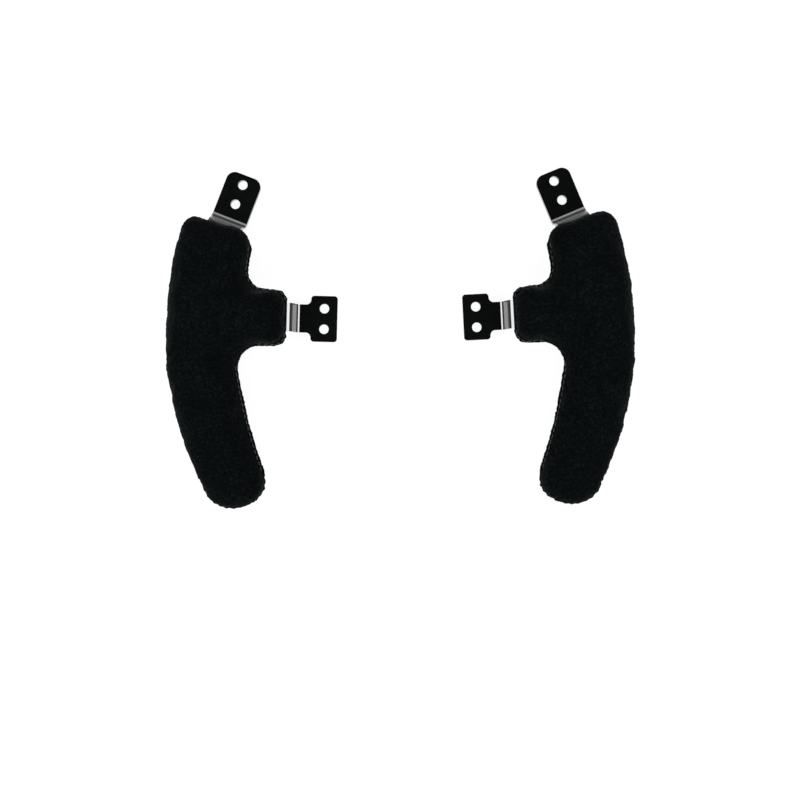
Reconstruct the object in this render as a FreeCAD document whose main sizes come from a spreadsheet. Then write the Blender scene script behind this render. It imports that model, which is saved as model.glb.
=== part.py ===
import FreeCAD, Part
import math
import os

import Sketcher

# A mirrored pair of suede-covered, T-shaped hand grips that screw onto a steering wheel.
# Millimetres. +X runs from the left grip to the right grip, +Y up the wheel, +Z towards the hand.
# Each grip is a stamped steel insert with two joggled screw tabs, two foam halves keyed through
# it, two suede panels sewn together in a flat lip along the inner side, and the sewing itself.
# The left grip is modelled in place, and the right grip is its mirror image about X = 0.

SHEET = "Sizes"

SIZES = {
    # the padded form
    "form_thickness": 28.0,
    "roll_radius": 7.4,
    "corner_radius": 7.5,
    "inner_top_radius": 8.3,
    "outer_tip_radius": 15.5,
    "inner_tip_radius": 11.0,
    "upper_root_radius": 9.0,
    "waist_radius": 20.0,
    "lower_root_radius": 13.0,
    "outer_edge_radius": 160.8,
    "outer_edge_centre_x": 48.6,
    "outer_edge_centre_y": 0.97,
    "inner_edge_radius": 232.0,
    # the sewn lip
    "suede_thickness": 1.1,
    "lip_edge_radius": 230.8,
    "lip_top_radius": 3.0,
    "lip_tip_radius": 11.5,
    "lip_corner_radius": 5.4,
    "lip_upper_root_radius": 7.8,
    "lip_lower_root_radius": 10.1,
    # the steel insert
    "plate_thickness": 2.0,
    "skeleton_outer_radius": 149.5,
    "skeleton_inner_radius": 137.5,
    "skeleton_branch_width": 13.4,
    "branch_bar_inset": 1.0,
    "branch_bar_setback": 4.0,
    "key_hole_radius": 2.5,
    # the joggle in each tab
    "joggle_drop": 7.0,
    "joggle_start": 1.8,
    "joggle_run": 3.2,
    "bend_inner_radius": 2.4,
    "tab_inner_reach": 7.0,
    # the screw tabs
    "screw_hole_radius": 2.3,
    "screw_pitch": 10.0,
    "side_tab_length": 24.2,
    "side_tab_width": 22.4,
    "side_neck_width": 13.7,
    "side_neck_end": 11.3,
    "side_hole_from_end": 6.4,
    "side_tab_lean": 2.2,
    "side_tab_corner": 1.6,
    "side_neck_fillet": 2.4,
    "top_tab_length": 28.3,
    "top_tab_width": 17.4,
    "top_root_width": 15.9,
    "top_root_end": 3.9,
    "top_hole_from_end": 4.9,
    "top_tab_corner": 4.4,
    "top_tab_lean": 21.9,
    # the sewing
    "stitch_length": 1.9,
    "stitch_pitch": 2.9,
    "stitch_width": 0.55,
    "stitch_height": 0.4,
    "seam_inset": 0.55,
    "outer_thread_radius": 0.3,
    "outer_thread_start": 163.0,
    "outer_thread_sweep": 42.0,
}

# Sharp corners of the padded form, before rounding, going round from the outer top corner.
FORM = {
    "outer_top": (-101.4, 58.9),
    "outer_tip": (-87.25, -85.05),
    "inner_tip": (-63.2, -75.05),
    "lower_root": (-80.4, -3.1),
    "branch_low": (-56.5, -3.1),
    "branch_high": (-55.4, 20.8),
    "upper_root": (-74.4, 23.2),
    "waist": (-73.2, 36.0),
    "inner_top": (-70.3, 49.2),
}

# Sharp corners of the sewn lip; its hidden corners lie inside the form.
LIP = {
    "lip_hidden_low": (-80.0, -79.0),
    "lip_tip": (-61.95, -74.7),
    "lip_lower_root": (-79.15, -4.35),
    "lip_branch_low": (-55.2, -4.4),
    "lip_branch_high": (-54.1, 21.9),
    "lip_upper_root": (-72.8, 24.3),
    "lip_waist": (-72.4, 33.5),
    "lip_top": (-70.5, 44.0),
    "lip_hidden_top": (-78.5, 49.2),
    "lip_hidden_mid": (-95.0, -5.9),
}

# Where each tab leaves the suede: the middle of the insert's width.
TAB_ROOTS = {
    "side_tab_root": (-54.8, 9.5),
    "top_tab_root": (-84.5, 52.8),
}

SKELETON_TOP_ANGLE = 162.0
SKELETON_TIP_ANGLE = 207.0
KEY_HOLE_ANGLES = (166.0, 177.0, 188.0, 200.0)
TOLERANCE = 0.01

# A block that covers the whole left grip as seen from the front: its corner, and its two sides.
COVERING_CORNER = (-140.0, -110.0)
COVERING_SIDES = (130.0, 220.0)


def make_sheet(doc):
    """Put every driving dimension in a spreadsheet cell with its own alias."""
    sheet = doc.addObject("Spreadsheet::Sheet", SHEET)
    cells = dict(SIZES)
    for name, (x, y) in {**FORM, **LIP, **TAB_ROOTS}.items():
        cells[name + "_x"] = x
        cells[name + "_y"] = y
    for row, (alias, value) in enumerate(cells.items(), start=1):
        sheet.set("A%d" % row, alias)
        sheet.set("B%d" % row, str(value))
        sheet.setAlias("B%d" % row, alias)
    doc.recompute()
    return sheet


def size(alias):
    """The value of a driving dimension."""
    return FreeCAD.ActiveDocument.getObject(SHEET).get(alias)


def origin_plane(body, role):
    """One of a body's own origin planes, found by its role."""
    return next(item for item in body.Origin.OriginFeatures if item.Role == role)


def new_sketch(body, name, role="XY_Plane", offset=None):
    """An empty sketch on one of the body's origin planes, moved by offset."""
    sketch = body.newObject("Sketcher::SketchObject", name)
    sketch.AttachmentSupport = [(origin_plane(body, role), "")]
    sketch.MapMode = "FlatFace"
    if offset is not None:
        sketch.AttachmentOffset = FreeCAD.Placement(FreeCAD.Vector(0, 0, offset), FreeCAD.Rotation())
    return sketch


def constrain(sketch, *terms, expression=None):
    """Add one constraint, and bind its value to the sheet."""
    index = sketch.addConstraint(Sketcher.Constraint(*terms))
    if expression is not None:
        sketch.setExpression("Constraints[%d]" % index, expression)


def pin_point(sketch, edge, end, x_expression, y_expression, x, y):
    """Hold one end of an edge at a point given by two expressions."""
    constrain(sketch, "DistanceX", -1, 1, edge, end, x, expression=x_expression)
    constrain(sketch, "DistanceY", -1, 1, edge, end, y, expression=y_expression)


def arc_between(start, end, radius, bulge_left):
    """The circular arc from start to end, and whether it had to be drawn from end to start."""
    p, q = FreeCAD.Vector(*start, 0), FreeCAD.Vector(*end, 0)
    chord = q - p
    side = 1.0 if bulge_left else -1.0
    across = FreeCAD.Vector(-chord.y, chord.x, 0).normalize() * side
    depth = math.sqrt(radius**2 - (chord.Length / 2) ** 2)
    centre = (p + q) * 0.5 - across * depth
    angles = [math.atan2(v.y - centre.y, v.x - centre.x) for v in (p, q)]
    turns_left = (angles[1] - angles[0]) % (2 * math.pi) < math.pi
    first, last = angles if turns_left else reversed(angles)
    circle = Part.Circle(centre, FreeCAD.Vector(0, 0, 1), radius)
    return Part.ArcOfCircle(circle, first, last), turns_left


def draw_outline(sketch, corners, arcs):
    """A closed outline through named corners; arcs maps a side's first corner to its radius cell.

    A radius cell is paired with True when the arc bulges to the left of the way round."""
    names = list(corners)
    ends = {}
    for index, name in enumerate(names):
        start, end = corners[name], corners[names[(index + 1) % len(names)]]
        if name in arcs:
            radius_cell, bulge_left = arcs[name]
            arc, forward = arc_between(start, end, size(radius_cell), bulge_left)
            edge = sketch.addGeometry(arc, False)
            constrain(sketch, "Radius", edge, size(radius_cell), expression=SHEET + "." + radius_cell)
            ends[name] = (edge, 1, 2) if forward else (edge, 2, 1)
        else:
            line = Part.LineSegment(FreeCAD.Vector(*start, 0), FreeCAD.Vector(*end, 0))
            ends[name] = (sketch.addGeometry(line, False), 1, 2)
    for index, name in enumerate(names):
        previous = ends[names[index - 1]]
        edge, first, _ = ends[name]
        constrain(sketch, "Coincident", previous[0], previous[2], edge, first)
        place = SHEET + "." + name
        pin_point(sketch, edge, first, place + "_x", place + "_y", *corners[name])


def add_pad(body, name, sketch, length_expression, midplane=False):
    """Pad a sketch by a length taken from the sheet."""
    pad = body.newObject("PartDesign::Pad", name)
    pad.Profile = sketch
    pad.Midplane = midplane
    pad.setExpression("Length", length_expression)
    FreeCAD.ActiveDocument.recompute()
    return pad


def add_pocket(body, name, sketch):
    """Cut a sketch right through the body, both ways."""
    pocket = body.newObject("PartDesign::Pocket", name)
    pocket.Profile = sketch
    pocket.Type = "ThroughAll"
    pocket.Midplane = True
    FreeCAD.ActiveDocument.recompute()
    return pocket


def add_fillet(body, name, edges, radius_expression):
    """Round the given edges of the body's last feature."""
    base = body.Tip
    fillet = body.newObject("PartDesign::Fillet", name)
    fillet.Base = (base, edges)
    fillet.setExpression("Radius", radius_expression)
    FreeCAD.ActiveDocument.recompute()
    return fillet


def edges_along(shape, direction, points):
    """Names of the straight edges along a direction whose line passes through one of the points."""
    way = FreeCAD.Vector(*direction)
    found = []
    for index, edge in enumerate(shape.Edges, start=1):
        if not isinstance(edge.Curve, Part.Line):
            continue
        if edge.tangentAt(edge.FirstParameter).cross(way).Length > TOLERANCE:
            continue
        start = edge.Vertexes[0].Point
        for point in points:
            gap = FreeCAD.Vector(*point) - start
            if (gap - way * gap.dot(way)).Length < TOLERANCE:
                found.append("Edge%d" % index)
    return found


def edges_at_heights(shape, heights):
    """Names of the edges that lie wholly at one of the given heights."""
    found = []
    for index, edge in enumerate(shape.Edges, start=1):
        box = edge.BoundBox
        if any(abs(box.ZMin - z) < TOLERANCE and abs(box.ZMax - z) < TOLERANCE for z in heights):
            found.append("Edge%d" % index)
    return found


def round_corners(body, corners, radii):
    """Round upright edges at named corners; radii maps a sheet cell to the corners it rounds."""
    for cell, names in radii.items():
        points = [(*corners[name], 0) for name in names]
        edges = edges_along(body.Tip.Shape, (0, 0, 1), points)
        add_fillet(body, "%s_%s" % (body.Name, cell), edges, SHEET + "." + cell)


def make_form(doc):
    """The padded form that the suede's outside follows: a thick outline with rolled edges."""
    body = doc.addObject("PartDesign::Body", "padded_form")
    sketch = new_sketch(body, "form_outline")
    arcs = {"outer_top": ("outer_edge_radius", False), "inner_tip": ("inner_edge_radius", True)}
    draw_outline(sketch, FORM, arcs)
    add_pad(body, "form_pad", sketch, SHEET + ".form_thickness")
    round_corners(body, FORM, {
        "corner_radius": ("outer_top", "branch_low", "branch_high"),
        "inner_top_radius": ("inner_top",),
        "outer_tip_radius": ("outer_tip",),
        "inner_tip_radius": ("inner_tip",),
        "upper_root_radius": ("upper_root",),
        "waist_radius": ("waist",),
        "lower_root_radius": ("lower_root",),
    })
    rims = edges_at_heights(body.Tip.Shape, (0.0, size("form_thickness")))
    add_fillet(body, "form_roll", rims, SHEET + ".roll_radius")
    return body


def make_lip(doc):
    """The flat strip, two layers of suede thick, where the panels are sewn along the inner side."""
    body = doc.addObject("PartDesign::Body", "lip_strip")
    sketch = new_sketch(body, "lip_outline", offset=0.0)
    sketch.setExpression("AttachmentOffset.Base.z", SHEET + ".form_thickness / 2")
    draw_outline(sketch, LIP, {"lip_tip": ("lip_edge_radius", True)})
    add_pad(body, "lip_pad", sketch, "2 * %s.suede_thickness" % SHEET, midplane=True)
    round_corners(body, LIP, {
        "lip_corner_radius": ("lip_branch_low", "lip_branch_high"),
        "lip_upper_root_radius": ("lip_upper_root",),
        "lip_lower_root_radius": ("lip_lower_root",),
        "lip_tip_radius": ("lip_tip",),
        "lip_top_radius": ("lip_top",),
    })
    return body


def bend_points():
    """The joggle's side view: corners of the top face and of the underside, in the tab's own frame."""
    half = size("plate_thickness") / 2
    drop, start, run = size("joggle_drop"), size("joggle_start"), size("joggle_run")
    shift = size("plate_thickness") * math.tan(math.atan2(drop, run) / 2)
    upper_outer = (start, half)
    lower_inner = (start + run, half - drop)
    upper_inner = (start - shift, -half)
    lower_outer = (start + run - shift, -half - drop)
    return upper_outer, lower_inner, lower_outer, upper_inner


def draw_polygon(sketch, points):
    """A closed polygon; each point is its place and the pair of expressions that hold it."""
    first = sketch.GeometryCount
    for index, (point, _) in enumerate(points):
        after = points[(index + 1) % len(points)][0]
        line = Part.LineSegment(FreeCAD.Vector(*point, 0), FreeCAD.Vector(*after, 0))
        sketch.addGeometry(line, False)
    for index, (point, expressions) in enumerate(points):
        constrain(sketch, "Coincident", first + (index - 1) % len(points), 2, first + index, 1)
        pin_point(sketch, first + index, 1, *expressions, *point)


def draw_side_view(sketch, length_cell):
    """A strip of plate that steps down and runs on, drawn along the tab."""
    half, drop = SHEET + ".plate_thickness / 2", SHEET + ".joggle_drop"
    start, run = SHEET + ".joggle_start", SHEET + ".joggle_run"
    back = "-%s.tab_inner_reach" % SHEET
    shift = "%s.plate_thickness * tan(atan2(%s; %s) / 2)" % (SHEET, drop, run)
    upper_outer, lower_inner, lower_outer, upper_inner = bend_points()
    reach, length = size("tab_inner_reach"), size(length_cell)
    top, low = size("plate_thickness") / 2, -size("plate_thickness") / 2 - size("joggle_drop")
    points = [
        ((-reach, top), (back, half)),
        (upper_outer, (start, half)),
        (lower_inner, ("%s + %s" % (start, run), "%s - %s" % (half, drop))),
        ((length, low + 2 * top), (SHEET + "." + length_cell, "%s - %s" % (half, drop))),
        ((length, low), (SHEET + "." + length_cell, "-%s - %s" % (half, drop))),
        (lower_outer, ("%s + %s - %s" % (start, run, shift), "-%s - %s" % (half, drop))),
        (upper_inner, ("%s - %s" % (start, shift), "-" + half)),
        ((-reach, -top), (back, "-" + half)),
    ]
    draw_polygon(sketch, points)


def round_bends(body):
    """Give the joggle's four bends their press radii."""
    upper_outer, lower_inner, lower_outer, upper_inner = bend_points()
    inner = [(x, 0, z) for x, z in (lower_inner, upper_inner)]
    outer = [(x, 0, z) for x, z in (upper_outer, lower_outer)]
    radius = SHEET + ".bend_inner_radius"
    add_fillet(body, body.Name + "_inner_bends", edges_along(body.Tip.Shape, (0, 1, 0), inner), radius)
    wide = "%s + %s.plate_thickness" % (radius, SHEET)
    add_fillet(body, body.Name + "_outer_bends", edges_along(body.Tip.Shape, (0, 1, 0), outer), wide)


def trim_sides(body, start, end, keep):
    """Narrow the tab to the width keep between two distances along it, on both sides.

    Each of the three is a pair: its value, and its expression on the sheet."""
    waste = 8.0
    sketch = new_sketch(body, body.Name + "_trim")
    for side in (1, -1):
        near = (side * keep[0] / 2, "%d * (%s) / 2" % (side, keep[1]))
        far = (near[0] + side * waste, "%s + %s" % (near[1], side * waste))
        corners = ((start, near), (end, near), (end, far), (start, far))
        draw_polygon(sketch, [((x[0], y[0]), (x[1], y[1])) for x, y in corners])
    add_pocket(body, body.Name + "_sides", sketch)


def drill_screw_holes(body, *places):
    """Screw holes, each at a pair of coordinates given as values with their expressions."""
    sketch = new_sketch(body, body.Name + "_hole_centres")
    radius = cell("screw_hole_radius")
    for x, y in places:
        circle = Part.Circle(FreeCAD.Vector(x[0], y[0], 0), FreeCAD.Vector(0, 0, 1), radius[0])
        edge = sketch.addGeometry(circle, False)
        constrain(sketch, "Radius", edge, radius[0], expression=radius[1])
        pin_point(sketch, edge, 3, x[1], y[1], x[0], y[0])
    add_pocket(body, body.Name + "_screw_holes", sketch)


def cell(alias, scale=1.0, plus=0.0):
    """A sheet cell, scaled and shifted, as a pair: its value, and its expression."""
    return size(alias) * scale + plus, "%s.%s * %s + %s" % (SHEET, alias, scale, plus)


def round_at(body, name, xs, half_width, radius_cell):
    """Round a tab's upright edges at distances xs along it, on both sides."""
    points = [(x, side * half_width, 0) for x in xs for side in (1, -1)]
    edges = edges_along(body.Tip.Shape, (0, 0, 1), points)
    add_fillet(body, "%s_%s" % (body.Name, name), edges, SHEET + "." + radius_cell)


def make_tab_blank(doc, name, length_cell, width_cell):
    """A joggled strip of plate in its own frame: x along it, from where it leaves the suede."""
    body = doc.addObject("PartDesign::Body", name)
    profile = new_sketch(body, name + "_side_view", role="XZ_Plane")
    draw_side_view(profile, length_cell)
    add_pad(body, name + "_pad", profile, SHEET + "." + width_cell, midplane=True)
    round_bends(body)
    return body


def make_side_tab(doc):
    """The T-headed tab: a joggled neck and a wide head with two holes side by side."""
    body = make_tab_blank(doc, "side_tab", "side_tab_length", "side_tab_width")
    back = cell("tab_inner_reach", -1.0, -1.0)
    trim_sides(body, back, cell("side_neck_end"), cell("side_neck_width"))
    neck, length = size("side_neck_end"), size("side_tab_length")
    round_at(body, "head_corners", (neck, length), size("side_tab_width") / 2, "side_tab_corner")
    round_at(body, "neck_roots", (neck,), size("side_neck_width") / 2, "side_neck_fillet")
    along = (length - size("side_hole_from_end"),
             "%s.side_tab_length - %s.side_hole_from_end" % (SHEET, SHEET))
    drill_screw_holes(body, (along, cell("screw_pitch", 0.5)), (along, cell("screw_pitch", -0.5)))
    return body


def make_top_tab(doc):
    """The straight tab: a narrower root, then a joggled, round-cornered strip with two holes in line."""
    body = make_tab_blank(doc, "top_tab", "top_tab_length", "top_tab_width")
    back = cell("tab_inner_reach", -1.0, -1.0)
    trim_sides(body, back, cell("top_root_end"), cell("top_root_width"))
    round_at(body, "end_corners", (size("top_tab_length"),), size("top_tab_width") / 2, "top_tab_corner")
    far = (size("top_tab_length") - size("top_hole_from_end"),
           "%s.top_tab_length - %s.top_hole_from_end" % (SHEET, SHEET))
    near = (far[0] - size("screw_pitch"), "%s - %s.screw_pitch" % (far[1], SHEET))
    drill_screw_holes(body, (far, (0.0, "0")), (near, (0.0, "0")))
    return body


def place_tab(body, root, turn_expression):
    """Stand a tab at its root, in the insert's middle plane, turned about Z."""
    body.setExpression("Placement.Base.x", "%s.%s_x" % (SHEET, root))
    body.setExpression("Placement.Base.y", "%s.%s_y" % (SHEET, root))
    body.setExpression("Placement.Base.z", SHEET + ".form_thickness / 2")
    body.setExpression("Placement.Rotation.Angle", turn_expression)


def make_skeleton(doc):
    """The buried part of the insert: a curved band with holes that key the foam halves together."""
    body = doc.addObject("PartDesign::Body", "skeleton")
    sketch = new_sketch(body, "skeleton_outline", offset=0.0)
    sketch.setExpression("AttachmentOffset.Base.z", SHEET + ".form_thickness / 2")
    draw_band(sketch)
    add_pad(body, "skeleton_band", sketch, SHEET + ".plate_thickness", midplane=True)
    keys = new_sketch(body, "key_hole_centres")
    key_radius = cell("key_hole_radius")
    radius = (size("skeleton_outer_radius") + size("skeleton_inner_radius")) / 2
    radius_terms = "(%s.skeleton_outer_radius + %s.skeleton_inner_radius) / 2" % (SHEET, SHEET)
    for angle in KEY_HOLE_ANGLES:
        turn = math.radians(angle)
        x = size("outer_edge_centre_x") + radius * math.cos(turn)
        y = size("outer_edge_centre_y") + radius * math.sin(turn)
        circle = Part.Circle(FreeCAD.Vector(x, y, 0), FreeCAD.Vector(0, 0, 1), key_radius[0])
        edge = keys.addGeometry(circle, False)
        constrain(keys, "Radius", edge, key_radius[0], expression=key_radius[1])
        pin_point(keys, edge, 3,
                  "%s.outer_edge_centre_x + %s * cos(%s)" % (SHEET, radius_terms, angle),
                  "%s.outer_edge_centre_y + %s * sin(%s)" % (SHEET, radius_terms, angle), x, y)
    add_pocket(body, "key_holes", keys)
    return body


def draw_band(sketch):
    """A band with round ends between two arcs about the outer edge's centre."""
    centre = FreeCAD.Vector(size("outer_edge_centre_x"), size("outer_edge_centre_y"), 0)
    upward = FreeCAD.Vector(0, 0, 1)
    radii = [size("skeleton_outer_radius"), size("skeleton_inner_radius")]
    first, last = math.radians(SKELETON_TOP_ANGLE), math.radians(SKELETON_TIP_ANGLE)
    arcs = []
    for radius, name in zip(radii, ("skeleton_outer_radius", "skeleton_inner_radius")):
        arc = Part.ArcOfCircle(Part.Circle(centre, upward, radius), first, last)
        arcs.append(sketch.addGeometry(arc, False))
        constrain(sketch, "Radius", arcs[-1], radius, expression=SHEET + "." + name)
        places = (SHEET + ".outer_edge_centre_x", SHEET + ".outer_edge_centre_y")
        pin_point(sketch, arcs[-1], 3, *places, centre.x, centre.y)
    middle, half = sum(radii) / 2, (radii[0] - radii[1]) / 2
    for angle, end, turn in ((first, 1, -math.pi), (last, 2, 0.0)):
        cap_centre = centre + FreeCAD.Vector(math.cos(angle), math.sin(angle), 0) * middle
        cap = Part.ArcOfCircle(Part.Circle(cap_centre, upward, half), angle + turn, angle + turn + math.pi)
        cap_edge = sketch.addGeometry(cap, False)
        outer_end, inner_end = (2, 1) if turn else (1, 2)
        constrain(sketch, "Tangent", arcs[0], end, cap_edge, outer_end)
        constrain(sketch, "Tangent", arcs[1], end, cap_edge, inner_end)


def make_insert(doc):
    """The finished steel stamping: skeleton, branch bar and both tabs in one piece."""
    side = make_side_tab(doc)
    place_tab(side, "side_tab_root", "-%s.side_tab_lean" % SHEET)
    top = make_top_tab(doc)
    place_tab(top, "top_tab_root", "90 - %s.top_tab_lean" % SHEET)
    bar = doc.addObject("Part::Box", "branch_bar")
    bar.setExpression("Width", SHEET + ".skeleton_branch_width")
    bar.setExpression("Height", SHEET + ".plate_thickness")
    spine = "%s.outer_edge_centre_x - %s.skeleton_outer_radius" % (SHEET, SHEET)
    bar_x = "(%s + %s.branch_bar_inset)" % (spine, SHEET)
    bar.setExpression("Length", "%s.side_tab_root_x - %s - %s.branch_bar_setback" % (SHEET, bar_x, SHEET))
    bar.setExpression("Placement.Base.x", bar_x)
    low_side = "%s.side_tab_root_y - %s.skeleton_branch_width / 2" % (SHEET, SHEET)
    bar.setExpression("Placement.Base.y", low_side)
    bar.setExpression("Placement.Base.z", "(%s.form_thickness - %s.plate_thickness) / 2" % (SHEET, SHEET))
    insert = doc.addObject("Part::MultiFuse", "insert_blank")
    insert.Shapes = [make_skeleton(doc), bar, side, top]
    insert.Refine = True
    return insert


def combine(doc, kind, name, base, tool):
    """A two-operand boolean: Part::Cut, Part::Common or Part::Fuse."""
    result = doc.addObject(kind, name)
    result.Base = base
    result.Tool = tool
    return result


def make_half_space(doc, name, base_expression):
    """A block that covers the left grip on one side of the insert's middle plane."""
    margin = 20.0
    block = doc.addObject("Part::Box", name)
    block.Placement.Base = FreeCAD.Vector(*COVERING_CORNER, 0)
    block.Length, block.Width = COVERING_SIDES
    block.setExpression("Height", "%s.form_thickness / 2 + %s" % (SHEET, margin))
    block.setExpression("Placement.Base.z", base_expression % {"sheet": SHEET, "margin": margin})
    return block


def make_outer_thread(doc):
    """The hidden thread that joins the two suede panels along the outer edge."""
    thread = doc.addObject("Part::Torus", "outer_thread")
    thread.setExpression("Radius1", "%s.outer_edge_radius - %s.suede_thickness / 2" % (SHEET, SHEET))
    thread.setExpression("Radius2", SHEET + ".outer_thread_radius")
    thread.setExpression("Angle3", SHEET + ".outer_thread_sweep")
    thread.setExpression("Placement.Base.x", SHEET + ".outer_edge_centre_x")
    thread.setExpression("Placement.Base.y", SHEET + ".outer_edge_centre_y")
    thread.setExpression("Placement.Base.z", SHEET + ".form_thickness / 2")
    thread.setExpression("Placement.Rotation.Angle", SHEET + ".outer_thread_start")
    return thread


def make_soft_parts(doc, insert):
    """The foam core and the suede cover, each split at the insert's middle plane."""
    form = make_form(doc)
    lip = make_lip(doc)
    thread = make_outer_thread(doc)
    core = doc.addObject("Part::Offset", "foam_envelope")
    core.Source = form
    core.setExpression("Value", "-%s.suede_thickness" % SHEET)
    doc.recompute()
    cover = combine(doc, "Part::Fuse", "cover_blank", form, lip)
    hollow = combine(doc, "Part::Cut", "cover_hollow", cover, core)
    slotted = combine(doc, "Part::Cut", "cover_slotted", hollow, insert)
    sewn = combine(doc, "Part::Cut", "cover_sewn", slotted, thread)
    foam = combine(doc, "Part::Cut", "foam_keyed", core, insert)
    front = make_half_space(doc, "front_space", "%(sheet)s.form_thickness / 2")
    rear = make_half_space(doc, "rear_space", "-%(margin)s")
    return {
        "front_foam": combine(doc, "Part::Common", "front_foam_half", foam, front),
        "rear_foam": combine(doc, "Part::Common", "rear_foam_half", foam, rear),
        "front_suede": combine(doc, "Part::Common", "front_suede_panel", sewn, front),
        "rear_suede": combine(doc, "Part::Common", "rear_suede_panel", sewn, rear),
        "outer_seam_thread": thread,
    }


def seam_path():
    """The sewing line: the lip strip's outline, moved in from its edge."""
    lip = FreeCAD.ActiveDocument.getObject("lip_strip").Shape
    flats = [face for face in lip.Faces if abs(face.normalAt(0, 0).z) > 1 - TOLERANCE]
    return flats[0].OuterWire.makeOffset2D(-size("seam_inset"))


def one_stitch(point, along, base):
    """One stitch: a short bar that lies on the suede, centred over a point of the seam."""
    length, width, height = size("stitch_length"), size("stitch_width"), size("stitch_height")
    bar = Part.makeBox(length, width, height, FreeCAD.Vector(-length / 2, -width / 2, 0))
    angle = math.degrees(math.atan2(along.y, along.x))
    bar.rotate(FreeCAD.Vector(), FreeCAD.Vector(0, 0, 1), angle)
    bar.translate(FreeCAD.Vector(point.x, point.y, base))
    return bar


def make_stitches(doc, name, keep):
    """A row of stitches on both faces of the lip, where keep(point) is true.

    The row follows the lip's own edge, which no pattern feature does."""
    middle = size("form_thickness") / 2
    front = middle + size("suede_thickness")
    rear = middle - size("suede_thickness") - size("stitch_height")
    path = seam_path()
    points = path.discretize(Number=int(path.Length / size("stitch_pitch")) + 1)
    bars = []
    for before, after in zip(points, points[1:]):
        centre = (before + after) * 0.5
        if keep(centre):
            bars.extend(one_stitch(centre, after - before, base) for base in (front, rear))
    feature = doc.addObject("Part::Feature", name)
    feature.Shape = Part.makeCompound(bars)
    return feature


def make_sewing(doc):
    """The three visible runs of sewing, where the lip stands clear of the padded form."""
    form = doc.getObject("padded_form").Shape
    middle, tab_y, branch_x = size("form_thickness") / 2, size("side_tab_root_y"), size("branch_high_x")
    slot = (size("side_neck_width") + size("stitch_length")) / 2
    clearance = 0.1

    def is_clear(point):
        spot = FreeCAD.Vector(point.x, point.y, middle)
        gap = form.distToShape(Part.Vertex(spot))[0]
        return gap > size("stitch_width") / 2 + clearance and not form.isInside(spot, TOLERANCE, True)

    def on_branch_end(point):
        return point.x > branch_x - size("lip_corner_radius") / 2

    def upper(point):
        return is_clear(point) and not on_branch_end(point) and point.y > tab_y

    def branch(point):
        return on_branch_end(point) and abs(point.y - tab_y) > slot

    def lower(point):
        return is_clear(point) and not on_branch_end(point) and point.y < tab_y

    return {
        "upper_seam_thread": make_stitches(doc, "upper_seam", upper),
        "branch_seam_thread": make_stitches(doc, "branch_seam", branch),
        "lower_seam_thread": make_stitches(doc, "lower_seam", lower),
    }


def mirrored(doc, source, name):
    """The same piece for the right grip, mirrored about X = 0."""
    mirror = doc.addObject("Part::Mirroring", name)
    mirror.Source = source
    mirror.Normal = FreeCAD.Vector(1, 0, 0)
    mirror.Base = FreeCAD.Vector(0, 0, 0)
    return mirror


def check_document(doc):
    """Stop if any object failed to compute."""
    for item in doc.Objects:
        if "Invalid" in item.State or "Error" in item.State:
            raise RuntimeError("%s did not compute: %s" % (item.Name, item.State))


def export_nodes(nodes):
    """Write each node's shape to its own STEP file, after checking it."""
    os.makedirs("parts", exist_ok=True)
    for label, item in nodes.items():
        shape = item.Shape
        if shape.isNull() or not shape.isValid() or not shape.Solids:
            raise RuntimeError("%s has no valid solid" % label)
        item.Label = label
        shape.exportStep("parts/%s.step" % label)
        box = shape.optimalBoundingBox(False)
        extents = (box.XMin, box.XMax, box.YMin, box.YMax, box.ZMin, box.ZMax)
        print("%-26s %2d solids %8.0f mm3 " % (label, len(shape.Solids), shape.Volume), end="")
        print(" x %.2f..%.2f  y %.2f..%.2f  z %.2f..%.2f" % extents)


def main():
    doc = FreeCAD.newDocument("hand_grips")
    make_sheet(doc)
    insert = make_insert(doc)
    doc.recompute()
    pieces = {"insert_plate": insert}
    pieces.update(make_soft_parts(doc, insert))
    pieces.update(make_sewing(doc))
    nodes = {"left_" + name: item for name, item in pieces.items()}
    nodes.update({"right_" + name: mirrored(doc, item, "right_" + name) for name, item in pieces.items()})
    doc.recompute()
    check_document(doc)
    export_nodes(nodes)


main()
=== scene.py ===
"""The looks of a pair of suede-covered steering wheel hand grips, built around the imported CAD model.

Each grip gets one padded suede cover with its sewn lip, a foam core inside it and three rows of twisted
stitches. The steel inserts and the outer seam threads are the CAD model's own meshes with new materials."""

import math
import random

import bpy
import numpy as np
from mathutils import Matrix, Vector, noise
from mathutils.kdtree import KDTree


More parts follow.
